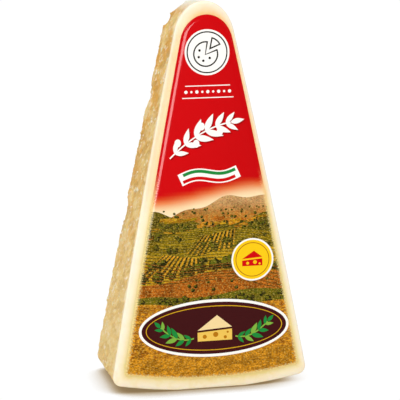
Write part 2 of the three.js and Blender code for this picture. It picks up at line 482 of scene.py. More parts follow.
def wedge_mesh(form, label_outline):
    """The smooth wedge as one closed mesh with fine, even triangles. Its attributes say how
    broken the surface is, how near to the label it is and whether it is rind."""
    s = form.settings
    ring = spaced(form.ring, COLUMN_COUNT)
    band, quads = wedge_band(form, ring)

    margin = s.crown_reach + FRONT_SPACING / 2
    flat, front_faces, _ = filled(ring, FRONT_INSETS, FRONT_SPACING, margin)
    inside = distance_to(form.ring, flat)
    front = place(flat, form.front(inside))
    gap = np.where(contains(label_outline, flat), 0, distance_to(label_outline, flat))
    near = inside / (gap + inside + ALMOST_ZERO)

    margin = s.back_round + BACK_SPACING / 2
    flat, back_faces, _ = filled(ring, BACK_INSETS, BACK_SPACING, margin)
    back = place(flat, form.back(distance_to(form.ring, flat), flat[:, 1]))

    parts = [(band, quads), (front, front_faces), (back, back_faces[:, ::-1])]
    mesh = build_mesh("cheese_wedge", parts)
    points = np.vstack([band, front, back])
    height = points[:, 2]
    behind = points[:, 1] - FRONT_Y - s.crown_depth
    off_rim = np.abs(np.hypot(ring[:, 0], ring[:, 1] - s.rim_radius) - s.rim_radius)
    off_rim = np.concatenate([np.tile(off_rim, ROW_COUNT + 1), np.ones(len(front) + len(back))])
    rind = 1 - smoothstep(off_rim, *RIND_FADE)
    cut = smoothstep(behind, *CUT_FADE)
    above_foot = smoothstep(height, *FOOT_FADE)
    below_tip = smoothstep(HEIGHT - height, *TIP_FADE)
    store(mesh, "cut", cut)
    store(mesh, "cut_tone", smoothstep(behind, *TONE_FADE))
    store(mesh, "relief", cut * above_foot * below_tip * (1 - RIND_SMOOTHNESS * rind))
    store(mesh, "rind", rind * cut)
    store(mesh, "near_label", np.concatenate([np.zeros(len(band)), near, np.zeros(len(back))]))
    store(mesh, "bite", chip_depth(form, points))
    weld(mesh)
    return mesh


# ---- Node trees -------------------------------------------------------------------------


class Wire:
    """An output of a node. A sum with a wire adds a Math node and gives its wire."""

    def __init__(self, socket):
        self.socket = socket
        self.tree = socket.id_data

    def __getitem__(self, name):
        """Another output of the same node."""
        return Wire(self.socket.node.outputs[name])

    def __add__(self, other):
        return calculate("ADD", self, other)

    def __sub__(self, other):
        return calculate("SUBTRACT", self, other)

    def __rsub__(self, other):
        return calculate("SUBTRACT", other, self)

    def __mul__(self, other):
        return calculate("MULTIPLY", self, other)

    def __truediv__(self, other):
        return calculate("DIVIDE", self, other)

    def __rtruediv__(self, other):
        return calculate("DIVIDE", other, self)

    def __pow__(self, other):
        return calculate("POWER", self, other)


def set_inputs(node, inputs):
    """Sets inputs of a node to plain values, or joins them to wires."""
    for key, value in inputs.items():
        if isinstance(value, Wire):
            value.tree.links.new(value.socket, node.inputs[key])
        else:
            node.inputs[key].default_value = value


def add_node(tree, kind, inputs=None, **settings):
    """Adds a node and gives the wire from its first output."""
    node = tree.nodes.new(kind)
    for name, value in settings.items():
        setattr(node, name, value)
    set_inputs(node, inputs or {})
    return Wire(node.outputs[0])


def tree_of(*values):
    """The tree of the first wire among some values."""
    return next(value.tree for value in values if isinstance(value, Wire))


def calculate(operation, first, second, clamp=False):
    """A sum with numbers."""
    inputs = {0: first, 1: second}
    tree = tree_of(first, second)
    return add_node(tree, "ShaderNodeMath", inputs, operation=operation, use_clamp=clamp)


def vector_sum(operation, first, second):
    """A sum with vectors."""
    inputs = {0: first, "Scale" if operation == "SCALE" else 1: second}
    return add_node(tree_of(first, second), "ShaderNodeVectorMath", inputs, operation=operation)


def leaned(position, lean):
    """A position turned about the X axis, so that what was level climbs to the front."""
    inputs = {"Vector": position, "Angle": lean}
    return add_node(position.tree, "ShaderNodeVectorRotate", inputs, rotation_type="X_AXIS")


def geometry_tree(name, inputs):
    """An empty tree with named inputs. Gives the wire of its inputs and its output node."""
    tree = bpy.data.node_groups.new(name, "GeometryNodeTree")
    for label, kind in {"Geometry": "Geometry", **inputs, "Material": "Material"}.items():
        tree.interface.new_socket(label, in_out="INPUT", socket_type="NodeSocket" + kind)
    tree.interface.new_socket("Geometry", in_out="OUTPUT", socket_type="NodeSocketGeometry")
    return add_node(tree, "NodeGroupInput"), tree.nodes.new("NodeGroupOutput")


def end_tree(geometry, given, out):
    """Makes instances real, sets the material and gives the result out. Gives the tree."""
    realized = add_node(given.tree, "GeometryNodeRealizeInstances", {0: geometry})
    inputs = {"Geometry": realized, "Material": given["Material"]}
    set_inputs(out, {0: add_node(given.tree, "GeometryNodeSetMaterial", inputs)})
    return given.tree


def run_tree(name, mesh, tree, values):
    """Runs a tree on a mesh and gives the result as a plain object."""
    source = new_object(name + "_source", mesh)
    modifier = source.modifiers.new("Nodes", "NODES")
    modifier.node_group = tree
    for item in tree.interface.items_tree:
        if item.in_out == "INPUT" and item.name in values:
            modifier[item.identifier] = values[item.name]
    graph = bpy.context.evaluated_depsgraph_get()
    result = bpy.data.meshes.new_from_object(
        source.evaluated_get(graph), preserve_all_data_layers=True, depsgraph=graph
    )
    bpy.data.objects.remove(source)
    result.name = name
    return new_object(name, result)


WOBBLE_SCALE, WOBBLE_REACH = 1.9, 0.5  # waves to a flake along its edge, and their reach
SMALL_FLAKE_SIZE, SMALL_FLAKE_DEPTH = 0.42, 0.5  # of the small flakes, in large ones
GRAIN_DETAIL = 2.5
RELIEF_INPUTS = (
    "crag_depth", "crag_size", "flake_depth", "flake_size", "flake_stretch", "flake_lean",
    "grain_depth", "grain_size", "setback", "seed",
)


def stored_number(tree, name):
    """A number that each point of the mesh holds."""
    return add_node(tree, "GeometryNodeInputNamedAttribute", {"Name": name}, data_type="FLOAT")


def flake_height(position, size, depth, seed):
    """Height of a surface that is broken into flakes: each flake lies at its own height and
    has its own tilt."""
    tree = position.tree
    shift = add_node(tree, "ShaderNodeCombineXYZ", {2: seed})
    shifted = vector_sum("ADD", vector_sum("SCALE", position, 1.0 / size), shift)
    inputs = {"Vector": shifted, "Scale": WOBBLE_SCALE, "Detail": 2.0}
    wobble = add_node(tree, "ShaderNodeTexNoise", inputs)["Color"]
    where = vector_sum("ADD", shifted, vector_sum("SCALE", wobble, WOBBLE_REACH))
    cells = add_node(tree, "ShaderNodeTexVoronoi", {"Vector": where, "Scale": 1.0})
    own = vector_sum("SUBTRACT", cells["Color"], (0.5, 0.5, 0.5))
    offset = vector_sum("SUBTRACT", where, cells["Position"])
    tilt = vector_sum("DOT_PRODUCT", own, offset)["Value"]
    return (add_node(tree, "ShaderNodeSeparateXYZ", {0: own}) + tilt) * depth


def relief_tree():
    """Breaks the cut faces up into crags, flakes and grain, and keeps the height."""
    given, out = geometry_tree("Cut-face relief", {name: "Float" for name in RELIEF_INPUTS})
    tree = given.tree
    position = add_node(tree, "GeometryNodeInputPosition")
    factors = {0: 1.0, 1: 1.0 / given["flake_stretch"], 2: 1.0}
    squeeze = add_node(tree, "ShaderNodeCombineXYZ", factors)
    along = vector_sum("MULTIPLY", leaned(position, given["flake_lean"]), squeeze)

    def waves(kind, detail):
        scale = 1.0 / given[kind + "_size"]
        inputs = {"Vector": position, "W": given["seed"], "Scale": scale, "Detail": detail}
        noise = add_node(tree, "ShaderNodeTexNoise", inputs, noise_dimensions="4D")
        return (noise - 0.5) * 2.0 * given[kind + "_depth"]

    def flakes(size, depth):
        return flake_height(along, size, depth, given["seed"])

    size, depth = given["flake_size"], given["flake_depth"]
    large = flakes(size, depth)
    small = flakes(size * SMALL_FLAKE_SIZE, depth * SMALL_FLAKE_DEPTH)
    broken = large + small + waves("grain", GRAIN_DETAIL)
    height = waves("crag", 1.0) + broken - given["setback"]
    raised = height * stored_number(tree, "relief") - stored_number(tree, "bite")
    offset = vector_sum("SCALE", add_node(tree, "GeometryNodeInputNormal"), raised)
    inputs = {"Geometry": given["Geometry"], "Name": "height", "Value": broken / depth}
    kept = add_node(
        tree, "GeometryNodeStoreNamedAttribute", inputs, data_type="FLOAT", domain="POINT"
    )
    moved = add_node(tree, "GeometryNodeSetPosition", {"Geometry": kept, "Offset": offset})
    return end_tree(moved, given, out)


# Smallest and largest fleck along, across and out of the surface, in fleck sizes.
FLECK_SMALLEST, FLECK_LARGEST = (0.35, 0.35, 0.08), (1.0, 1.0, 0.22)


def fleck_tree():
    """Scatters small pale lumps over the cut faces, half sunk."""
    inputs = {"fleck_density": "Float", "fleck_size": "Float", "seed": "Int"}
    given, out = geometry_tree("Pale flecks", inputs)
    tree = given.tree
    density = given["fleck_density"] * stored_number(tree, "relief")
    scattered = add_node(tree, "GeometryNodeDistributePointsOnFaces", {
        "Mesh": given["Geometry"], "Density": density, "Seed": given["seed"],
    })
    lump = add_node(tree, "GeometryNodeMeshIcoSphere", {"Radius": 1.0, "Subdivisions": 1})
    spread = add_node(
        tree, "FunctionNodeRandomValue",
        {0: FLECK_SMALLEST, 1: FLECK_LARGEST, "Seed": given["seed"]}, data_type="FLOAT_VECTOR",
    )
    placed = add_node(tree, "GeometryNodeInstanceOnPoints", {
        "Points": scattered,
        "Instance": add_node(tree, "GeometryNodeSetShadeSmooth", {"Geometry": lump}),
        "Rotation": scattered["Rotation"],
        "Scale": vector_sum("SCALE", spread, given["fleck_size"]),
    })
    return end_tree(placed, given, out)


# ---- Materials --------------------------------------------------------------------------

# Noise in the paste and the ink: size in millimetres, detail, roughness, and the two levels
# between which the pattern shows more and more.
PATTERNS = {
    "golden patch": (9, 2.0, 0.55, 0.36, 0.66),
    "pale streak": (1.4, 3.0, 0.6, 0.50, 0.66),
    "dark streak": (2.0, 4.0, 0.65, 0.52, 0.68),
    "meal": (0.5, 2.0, 0.55, 0.35, 0.7),
    "blotch": (2.4, 3.0, 0.55, 0.60, 0.68),
    "front vein": (3.2, 3.0, 0.55, 0.42, 0.66),
    "fleck of ink": (1.6, 5.0, 0.7, 0.42, 0.58),
    "broad shade": (6.0, 3.0, 0.6, 0.46, 0.60),
    "fine shade": (0.7, 4.0, 0.65, 0.45, 0.64),
    "sparkle": (0.75, 3.0, 0.75, 0.50, 0.68),
}
# Where the painted highlight on the top of the tip fades in.
PAINTED_TIP_HIGHLIGHT = (133.5 * MM, 138.5 * MM)
TURN_OF_FRONT = (60 * MM, 76 * MM)  # where the front's colour beside the label turns
PICTURE_TOP = (80 * MM, 66 * MM)  # where the red ends and the picture begins
FRONT_MOTTLING, FOOT_MOTTLING = 0.08, 0.14  # everywhere, and what the foot adds
# How fast the warm colour falls off beside the label, where its upper part is a painted glow of
# the label's red: below, what it loses above, and what it gains again at the top and on the
# right.
FALL, FALL_LOSS, FALL_GAIN = 1.8, 1.2, 0.6
FRONT_ROUGHNESS, CUT_ROUGHNESS = 0.24, 0.6
SCATTERED_FAR = (1.0, 0.6, 0.3)  # how far red, green and blue light goes in the paste
BLOTCH_WHITE = linear("fff1de")
FOOT_STRAW = linear("fae0a0")
FLECK_STRAW = linear("f0d79c")
OCHRE_SHADE = linear("6b5a0c")
BROWN_SHADE = linear("4c380c")
STRAW_SPARKLE = linear("f4d468")


def new_material(name):
    """A material with only a Principled shader. Gives the material, its tree and the shader."""
    material = bpy.data.materials.new(name)
    material.use_nodes = True
    return material, material.node_tree, material.node_tree.nodes["Principled BSDF"]


def surface_place(tree):
    """The place on the surface, then its distance to the right and its height alone."""
    position = add_node(tree, "ShaderNodeTexCoord")["Object"]
    apart = add_node(tree, "ShaderNodeSeparateXYZ", {0: position})
    return position, apart["X"], apart["Z"]


def held(tree, name, output="Fac"):
    """A number that the mesh holds, or with Color as the output a colour."""
    return add_node(tree, "ShaderNodeAttribute", attribute_name=name)[output]


def blended(share, first, second, mode="MIX"):
    """A mix of two colours."""
    colours = [value if isinstance(value, Wire) else (*value, 1.0) for value in (first, second)]
    inputs = {0: share, 6: colours[0], 7: colours[1]}
    tree = tree_of(share, first, second)
    return add_node(tree, "ShaderNodeMix", inputs, data_type="RGBA", blend_type=mode)[2]


def between(value, low, high):
    """A share that rises smoothly from 0 at low to 1 at high."""
    inputs = {"Value": value, "From Min": low, "From Max": high}
    return add_node(value.tree, "ShaderNodeMapRange", inputs, interpolation_type="SMOOTHSTEP")


def clouds(position, size, detail=3.0, roughness=0.55):
    """Noise with features of a given size, in metres."""
    return add_node(position.tree, "ShaderNodeTexNoise", {
        "Vector": position, "Scale": 1 / size, "Detail": detail, "Roughness": roughness,
    })


def pattern(position, name):
    """A share that says how much a pattern shows."""
    size, detail, roughness, low, high = PATTERNS[name]
    return between(clouds(position, size * MM, detail, roughness), low, high)


def bump(height, distance, strength):
    inputs = {"Height": height, "Distance": distance, "Strength": strength}
    return add_node(height.tree, "ShaderNodeBump", inputs)


def paste_material(settings):
    """The cheese: broken and grainy where it is cut, smooth under the film at the front."""
    material, tree, shader = new_material("cheese_paste")
    position, across, height = surface_place(tree)
    cut = held(tree, "cut")
    front = front_tone(settings, position, across, height)
    broken = cut_tone(settings, position, height)
    tone = blended(held(tree, "cut_tone"), front, broken)
    # Painted highlight: the cut faces turn pale at the top of the tip.
    tip_highlight_share = between(height, *PAINTED_TIP_HIGHLIGHT) * cut
    roughness = {"Value": cut, "To Min": FRONT_ROUGHNESS, "To Max": CUT_ROUGHNESS}
    fine = clouds(position, 0.35 * MM, 4.0, 0.7) * cut
    set_inputs(shader, {
        "Base Color": blended(tip_highlight_share, tone, settings.tip_highlight_colour),
        "Roughness": add_node(tree, "ShaderNodeMapRange", roughness),
        "Normal": bump(fine, 0.25 * MM, 0.7),
        "Subsurface Weight": 0.25,
        "Subsurface Radius": SCATTERED_FAR,
        "Subsurface Scale": 2.5 * MM,
    })
    return material


def cut_tone(settings, position, height):
    """Colour of the broken faces: golden clouds, stronger towards the tip, under the layers
    of the list, from the lowest to the topmost."""
    tree = position.tree
    squeeze = (1.0, 1 / settings.flake_stretch, 1.0)
    along = vector_sum("MULTIPLY", leaned(position, settings.flake_lean), squeeze)
    relief = held(tree, "height")
    upward = between(height, 20 * MM, 135 * MM) * 1.25
    beside_front = (1.0 - held(tree, "cut_tone")) ** 0.4
    golden = calculate("MULTIPLY", pattern(position, "golden patch"), upward + 0.3, clamp=True)
    tone = blended(golden, settings.paste, settings.golden)
    for share, layer in (
        (pattern(along, "pale streak") * (0.6 - upward * 0.25), settings.pale),
        (pattern(along, "dark streak") * 0.45, settings.hollow),
        # Painted shade: the deep parts of the relief turn to the hollow colour; the high parts
        # turn paler.
        (between(relief, 0.05, -0.75) * 0.5, settings.hollow),
        (between(relief, 0.15, 0.8) * 0.4, settings.pale),
        (pattern(position, "meal") * 0.15, settings.pale),
        (pattern(along, "blotch") * 0.9, BLOTCH_WHITE),
        (between(height, 60 * MM, 10 * MM) * 0.35, FOOT_STRAW),
        (held(tree, "rind") * 0.6, settings.rind),
        (beside_front * 0.85, settings.rim_gold),
    ):
        tone = blended(share, tone, layer)
    return tone


def label_side_tone(settings, height):
    """Colour of the front right beside the label, and how far it has turned from the lower one to
    the upper one. The upper one is a painted glow of the label's red."""
    upper = between(height, *TURN_OF_FRONT)
    return blended(upper, settings.front_straw, settings.front_red_glow), upper


def front_tone(settings, position, across, height):
    """Colour of the smooth front: pale at its edge, warmer towards the label, where it carries a
    painted glow of the label's red, with soft mottling that shows most along the foot."""
    warm, upper = label_side_tone(settings, height)
    foot = between(height, 16 * MM, 5 * MM)
    mottling = pattern(position, "front vein") * (foot * FOOT_MOTTLING + FRONT_MOTTLING)
    top = between(height, 118 * MM, 132 * MM)
    right = between(across, -8 * MM, 8 * MM) * upper
    fall = FALL - upper * FALL_LOSS + calculate("MAXIMUM", top, right) * FALL_GAIN
    near = held(position.tree, "near_label") ** fall
    return blended(calculate("ADD", mottling, near, clamp=True), settings.front, warm)


def fleck_material(settings):
    """Pale crystals and curd flecks in the broken faces."""
    material, tree, shader = new_material("pale_fleck")
    position, _, _ = surface_place(tree)
    set_inputs(shader, {
        "Base Color": blended(clouds(position, 1.5 * MM), settings.pale, FLECK_STRAW),
        "Roughness": 0.5,
        "Normal": bump(clouds(position, 0.3 * MM), 0.1 * MM, 0.4),
        "Subsurface Weight": 0.3,
        "Subsurface Scale": 1.5 * MM,
    })
    return material


def label_material(settings, cut_face):
    """Ink under clear film. Two colours lie on the mesh, the ink and its flecks, and a third
    attribute says how mottled the ink is."""
    material, tree, shader = new_material("printed_film")
    position, across, height = surface_place(tree)
    mottle = held(tree, "mottle")
    flat_position = vector_sum("MULTIPLY", position, (1.0, 0.0, 1.7))
    fine = pattern(flat_position, "fine shade")
    flecked = pattern(flat_position, "fleck of ink") * mottle
    broad = pattern(flat_position, "broad shade") * mottle
    sparkle = pattern(flat_position, "sparkle") * mottle
    tone = blended(flecked, held(tree, "ink", "Color"), held(tree, "fleck", "Color"))
    tone = blended(broad * 0.45, tone, OCHRE_SHADE, "MULTIPLY")
    tone = blended(fine * mottle * 0.8, tone, BROWN_SHADE, "MULTIPLY")
    tone = blended(sparkle * 0.6, tone, STRAW_SPARKLE)

    # The lower picture fades out at the label's edge, and on the upper left the red ends in a
    # darker line, which is painted shade along the label's bent edge.
    edge = held(tree, "label_edge")
    ragged = edge - fine * (0.8 * MM)
    lower = between(height, *PICTURE_TOP)
    fade = between(ragged, 1.2 * MM, -0.1 * MM) * lower
    beside, _ = label_side_tone(cut_face, height)
    tone = blended(fade, tone, beside)
    upper_left = (1.0 - lower) * between(across, 8 * MM, -8 * MM)
    line = between(edge, 0.45 * MM, 0.1 * MM) * upper_left
    set_inputs(shader, {
        "Base Color": blended(line * 0.25, tone, settings.shadow_red),
        "Roughness": 0.11,
        "Normal": bump(clouds(position, 14 * MM, 1.0), 1.0 * MM, 0.03),
        "Coat Weight": 0.3,
        "Coat Roughness": 0.08,
    })
    return material


# ---- Label ------------------------------------------------------------------------------

LABEL_COLUMNS = 460
LABEL_INSETS = (0.12, 0.3, 0.55, 0.85, 1.2, 1.6, 2.1, 2.7)
LABEL_SPACING = 1.6 * MM
LABEL_MARGIN = 3.2 * MM
LABEL_SHELF = 0.04 * MM  # the label's underside lies this far off the cheese
BEND_STEP = 0.4 * MM
SETTINGS_INKS = ("red", "shadow_red", "white", "black", "brown", "gold", "green")
FIELD_INKS = {
    "cream": "f3d9a0", "leaf": "7fb341", "cheese": "efc65a", "woods": "4c460c",
    "olive": "7c6c0c", "hill": "ac8c0c", "straw": "d8a818", "bush": "171e06",
    "clay": "cc7018", "rust": "94480a", "corn": "eca420", "corn_dark": "b87610",
    "moss": "5c6410", "haze": "b88438",
}
PRINT_SEED = 11


def turns(count):
    """Evenly spaced angles once round."""
    return np.arange(count) / count * 2 * math.pi


class Picture:
    """Flat shapes of ink, in millimetres, each painted over the ones before it."""

    def __init__(self, settings):
        self.inks = {name: linear(code) for name, code in FIELD_INKS.items()}
        self.inks.update({name: tuple(getattr(settings, name)) for name in SETTINGS_INKS})
        self.chance = random.Random(PRINT_SEED)
        self.shapes = []
        self.paints = []

    def add(self, points, ink, fleck=None, mottle=0.0):
        self.shapes.append(np.array(points, float) * MM)
        self.paints.append((self.inks[ink], self.inks[fleck or ink], mottle))

    def disc(self, centre, radius, ink, count=48):
        """A round shape, or an oval one if there are two radii."""
        self.add(circle(turns(count)) * radius + centre, ink)

    def discs(self, centre, rings, count):
        """Discs on one centre, each smaller than the one before it."""
        for radius, ink in rings:
            self.disc(centre, radius, ink, count)


def rotated(points, turn):
    """Points turned anticlockwise about the origin."""
    cosine, sine = math.cos(turn), math.sin(turn)
    return np.asarray(points) @ np.array([[cosine, sine], [-sine, cosine]])


def leaf(root, direction, leaf_length, width, count=9):
    """A pointed leaf that grows from its root in a direction."""
    share = np.linspace(0, 1, count)
    half = width / 2 * np.sin(math.pi * share**0.8)
    upper = np.column_stack([share * leaf_length, half])
    lower = np.column_stack([share * leaf_length, -half])[-2:0:-1]
    return rotated(np.vstack([upper, lower]), direction) + root


def stroke(line, width):
    """A stroke of even width along a line."""
    line = np.asarray(line, float)
    along = np.gradient(line, axis=0)
    across = np.column_stack([-along[:, 1], along[:, 0]])
    across *= width / 2 / np.linalg.norm(across, axis=1)[:, None]
    return np.vstack([line + across, (line - across)[::-1]])


def crest(level, rise, waves, reach=36, step=1.5):
    """A rolling skyline, closed below the label."""
    x = np.arange(-reach, reach + step, step)
    z = level + rise * x
    for height, wavelength, shift in waves:
        z = z + height * np.sin(2 * math.pi * (x - shift) / wavelength)
    floor_level = -2
    return [*zip(x, z), (reach + step, floor_level), (-reach, floor_level)]


def paint_fields(picture):
    """Rolling fields, from the far hills to the corn in front."""
    picture.add(crest(66, 0.02, ((3.2, 62, -4), (0.8, 15, 2))), "haze", "clay", 0.7)
    paint_grove(picture, 90, (58.5, 65.5), (0.35, 1.0))
    picture.add(crest(61.5, -0.03, ((2.4, 47, 14), (0.6, 13, 3))), "woods", "olive", 0.9)
    paint_patches(picture)
    paint_grove(picture, 80, (55.5, 61.0), (0.4, 1.3))
    picture.add(crest(56, 0.1, ((2.6, 70, -22),)), "hill", "olive", 0.9)
    paint_furrows(picture, 54.5, 6, 0.9, "olive")
    paint_rows(picture, ((-3, 55.5), (9, 57.5)), ((-9, 49), (8, 48)), 9)
    paint_grove(picture, 34, (50.5, 55.5), (0.6, 1.5))
    picture.add(crest(50, -0.05, ((2.4, 58, 2),)), "straw", "hill", 0.8)
    paint_furrows(picture, 49.5, 9, 1.15, "olive")
    paint_rows(picture, ((-17, 49.5), (-4, 47.5)), ((-27, 41), (-3, 42)), 10)
    paint_grove(picture, 14, (44.5, 49), (0.9, 1.7))
    paint_hedge(picture)
    picture.add(crest(41.5, 0.06, ((1.3, 49, -9),)), "clay", "rust", 0.9)
    paint_furrows(picture, 41.0, 7, 1.05, "rust")
    paint_grove(picture, 12, (36.0, 40.5), (0.4, 0.9))
    picture.add(crest(34.5, 0.03, ((0.8, 37, 5),)), "olive", "moss", 0.9)
    paint_grove(picture, 34, (30.8, 34.0), (0.8, 1.7))
    picture.add(crest(30.5, -0.02, ((1.1, 52, 14),)), "corn", "rust", 0.9)
    picture.add(crest(13, 0.05, ((0.7, 40, 3),)), "corn_dark", "corn", 0.9)


def paint_patches(picture):
    """Small fields on the far slope."""
    chance = picture.chance
    for _ in range(30):
        x, z = chance.uniform(-24, 24), chance.uniform(54, 62)
        width, tall = chance.uniform(2.4, 7.0), chance.uniform(0.7, 1.6)
        lean = chance.uniform(-0.5, 0.9)
        corners = ((-width, -tall), (width, -tall), (width + lean, tall), (-width + lean, tall))
        points = rotated(corners, chance.uniform(-0.15, 0.3)) * 0.5 + (x, z)
        picture.add(points, chance.choice(("straw", "clay", "corn", "hill")), "rust", 0.7)


def paint_bush(picture, x, z, radius):
    """A round bush, lit from the upper left."""
    angles = turns(12)
    for ink, fleck, size, shift in (("bush", "woods", 1.0, 0.0), ("moss", "olive", 0.5, 0.34)):
        lumps = radius * size * np.array([picture.chance.uniform(0.75, 1.15) for _ in angles])
        crown = circle(angles) * lumps[:, None] * (1, 0.9)
        picture.add(crown + (x - shift * radius, z + shift * radius), ink, fleck, 0.5)


def paint_grove(picture, count, heights, radii):
    """Scattered bushes, larger towards the front."""
    chance = picture.chance
    places = [(chance.uniform(*heights), chance.uniform(-28, 28)) for _ in range(count)]
    low, high = heights
    for z, x in sorted(places, reverse=True):
        nearness = (high - z) / (high - low)
        radius = radii[0] + (radii[1] - radii[0]) * nearness * chance.uniform(0.6, 1.2)
        paint_bush(picture, x, z, radius)


def paint_furrows(picture, top, count, spacing, ink):
    """Rows across a slope."""
    for number in range(count):
        x = np.linspace(-34, 34, 24)
        z = top + 4 - number * spacing - 0.11 * x + 1.6 * np.sin((x + number * 1.2) / 9)
        picture.add(stroke(np.column_stack([x, z]), 0.36), ink, "woods", 0.9)


def paint_rows(picture, top, bottom, count):
    """A field whose rows run down the slope and spread towards the front."""
    top = np.array(top, float)
    bottom = np.array(bottom, float)
    picture.add((*top, *bottom[::-1]), "corn", "hill", 0.8)
    for number in range(count):
        share = (number + 0.5) / count
        upper = top[0] + (top[1] - top[0]) * share
        lower = bottom[0] + (bottom[1] - bottom[0]) * share
        thin = (0.24 * (top[1, 0] - top[0, 0]) / count, 0)
        thick = (0.30 * (bottom[1, 0] - bottom[0, 0]) / count, 0)
        corners = (upper - thin, upper + thin, lower + thick, lower - thick)
        picture.add(corners, "woods", "bush", 0.9)


def paint_hedge(picture):
    """Round bushes in a loose row along the foot of the slope."""
    x = -28.0
    while x < 30:
        radius = picture.chance.uniform(0.9, 2.5)
        z = 42.5 + 0.06 * x + 1.3 * math.sin((x + 9) * 2 * math.pi / 49) + radius * 0.5
        paint_bush(picture, x, z, radius)
        x += radius * picture.chance.uniform(0.9, 2.6)


def paint_patch(picture):
    """A white disc with a plain drawing of a wheel of cheese that has a slice pulled out,
    each shape in black with a smaller one in white on it."""
    centre = np.array([0.0, 120.2])
    picture.discs(centre, ((8.0, "white"), (7.3, "black"), (6.85, "white")), 72)
    gap = (math.radians(22), math.radians(78))
    middle = np.array([math.cos(sum(gap) / 2), math.sin(sum(gap) / 2)])
    wheel = centre - (0.5, 0.6)
    pulled_out = 1.9
    for radius, inset, ink in ((4.5, 0.0, "black"), (4.0, 0.5, "white")):
        turn = inset / radius
        rim = arc((0, 0), radius, gap[1] + turn, gap[0] - turn + 2 * math.pi, 36)
        picture.add(np.vstack([rim, [-middle * inset]]) + wheel, ink)
        root = middle * (pulled_out + 2.1 * inset)
        slice_rim = arc(middle * pulled_out, radius, gap[0] + turn, gap[1] - turn, 12)
        picture.add(np.vstack([slice_rim, [root]]) + wheel, ink)
    for x, z in ((-2.2, 1.3), (-0.9, -2.3), (1.4, -1.4), (-2.5, -1.0)):
        picture.disc(wheel + (x, z), 0.45, "black", 12)


def paint_rules(picture):
    """Two thin rules with a row of dots between them."""
    for level, reach in ((108.6, 8.0), (104.4, 9.2)):
        picture.add(stroke([(-reach, level), (0, level), (reach, level)], 0.32), "white")
    for number in range(-4, 5):
        picture.disc((number * 1.95, 106.5), 0.42 if number % 2 else 0.6, "white", 12)


def sprig(start, end, bend, leaf_length, leaf_width, pairs):
    """The outlines of a sprig's stem and leaves, and the points along its stem."""
    share = np.linspace(0, 1, 24)[:, None]
    line = np.array(start) + (np.array(end) - start) * share
    line[:, 1] += bend * 4 * share[:, 0] * (1 - share[:, 0])
    outlines = [stroke(line, 0.5)]

    def point(at):
        return np.array([np.interp(at, share[:, 0], line[:, k]) for k in (0, 1)])

    for number in range(pairs):
        at = 0.08 + 0.84 * number / (pairs - 1)
        root = point(at)
        ahead = point(at + 0.05) - root
        heading = math.atan2(ahead[1], ahead[0])
        size = 1 - 0.35 * abs(2 * at - 1)
        for side in (-1, 1):
            turn = heading + side * math.radians(40)
            outlines.append(leaf(root, turn, leaf_length * size, leaf_width * size))
    outlines.append(leaf(line[-1], heading, leaf_length * 0.7, leaf_width * 0.8))
    return outlines, line


def paint_sprig(picture):
    """A white olive sprig with a soft dark shadow, across the red ground."""
    outlines, line = sprig((-14, 83.5), (8, 95.5), 2.2, 7.2, 2.4, 6)
    berries = []
    for at, side in ((4, -1), (9, 1), (13, -1), (18, 1)):
        berries.append(line[at] + (side * 0.9, -side * 1.9))
    for ink, shift in (("shadow_red", (0.45, -0.5)), ("white", (0, 0))):
        for outline in outlines:
            picture.add(outline + shift, ink)
        for berry in berries:
            picture.disc(berry + shift, (1.15, 1.4), ink, 20)


def paint_ribbon(picture):
    """A short ribbon in three stripes with a white edge."""
    share = np.linspace(0, 1, 20)
    x = -10.5 + 21 * share
    z = 75.6 + 2.6 * share + 1.1 * np.sin(share * 2 * math.pi)
    line = np.column_stack([x, z])
    picture.add(stroke(line, 4.4), "white")
    middle = line[1:-1]
    for offset, ink in ((1.22, "green"), (0, "white"), (-1.22, "red")):
        picture.add(stroke(middle + (0, offset), 1.12), ink)


def paint_slice(picture, centre, outlines, holes, inks, count):
    """A slice of cheese: its cut side, its top and the holes in its side, each in its ink."""
    for outline, ink in zip(outlines, inks):
        picture.add(np.array(outline) + centre, ink)
    for x, z, radius in holes:
        picture.disc(centre + (x, z), radius, inks[-1], count)


def paint_badge(picture):
    """A round gold badge with a white rim and a slice of cheese."""
    centre = np.array([15.2, 46.2])
    rings = ((7.7, "white"), (7.1, "gold"), (6.2, "corn_dark"), (5.9, "gold"))
    picture.discs(centre, rings, 64)
    side = ((-3.8, -2.3), (3.6, -2.3), (3.6, 0.2), (-3.8, -0.3))
    top = ((-3.8, 0.3), (3.6, 0.8), (0.6, 3.1))
    holes = ((-1.8, -1.3, 0.55), (0.9, -1.0, 0.7), (2.6, -1.6, 0.4))
    paint_slice(picture, centre, (side, top), holes, ("red", "red", "gold"), 14)


def paint_plaque(picture):
    """A plain oval plaque with a wedge of cheese between two green sprigs."""
    centre = np.array([0.9, 22.2])
    rims = (((27.4, 10.4), "white"), ((26.4, 9.4), "brown"))
    line = (((24.9, 8.1), "straw"), ((24.6, 7.8), "brown"))
    picture.discs(centre, rims + line, 96)
    for side in (-1, 1):
        outlines, _ = sprig((side * 7.6, -3.4), (side * 19.5, 1.2), -2.0, 4.6, 1.7, 5)
        for number, outline in enumerate(outlines):
            picture.add(outline + centre, "green" if number % 3 else "leaf")
    side = ((-6.2, -4.6), (6.4, -4.6), (6.4, -0.6), (-6.2, -1.4))
    top = ((-6.2, -0.7), (6.4, 0.1), (1.0, 4.6))
    holes = ((-3.6, -3.0, 0.75), (0.4, -2.4, 0.95), (3.9, -3.5, 0.6), (4.8, -1.7, 0.4))
    paint_slice(picture, centre, (side, top), holes, ("cheese", "cream", "corn_dark"), 18)


def label_picture(settings):
    """Everything printed on the label, over its graded ground."""
    picture = Picture(settings)
    paint_fields(picture)
    paint_badge(picture)
    paint_plaque(picture)
    paint_patch(picture)
    paint_rules(picture)
    paint_sprig(picture)
    paint_ribbon(picture)
    return picture


# The red turns into the sky through these colours, each at its share of the way.
GRADE = ((0.24, "d9431c"), (0.5, "ec8a53"), (0.75, "f3c394"))
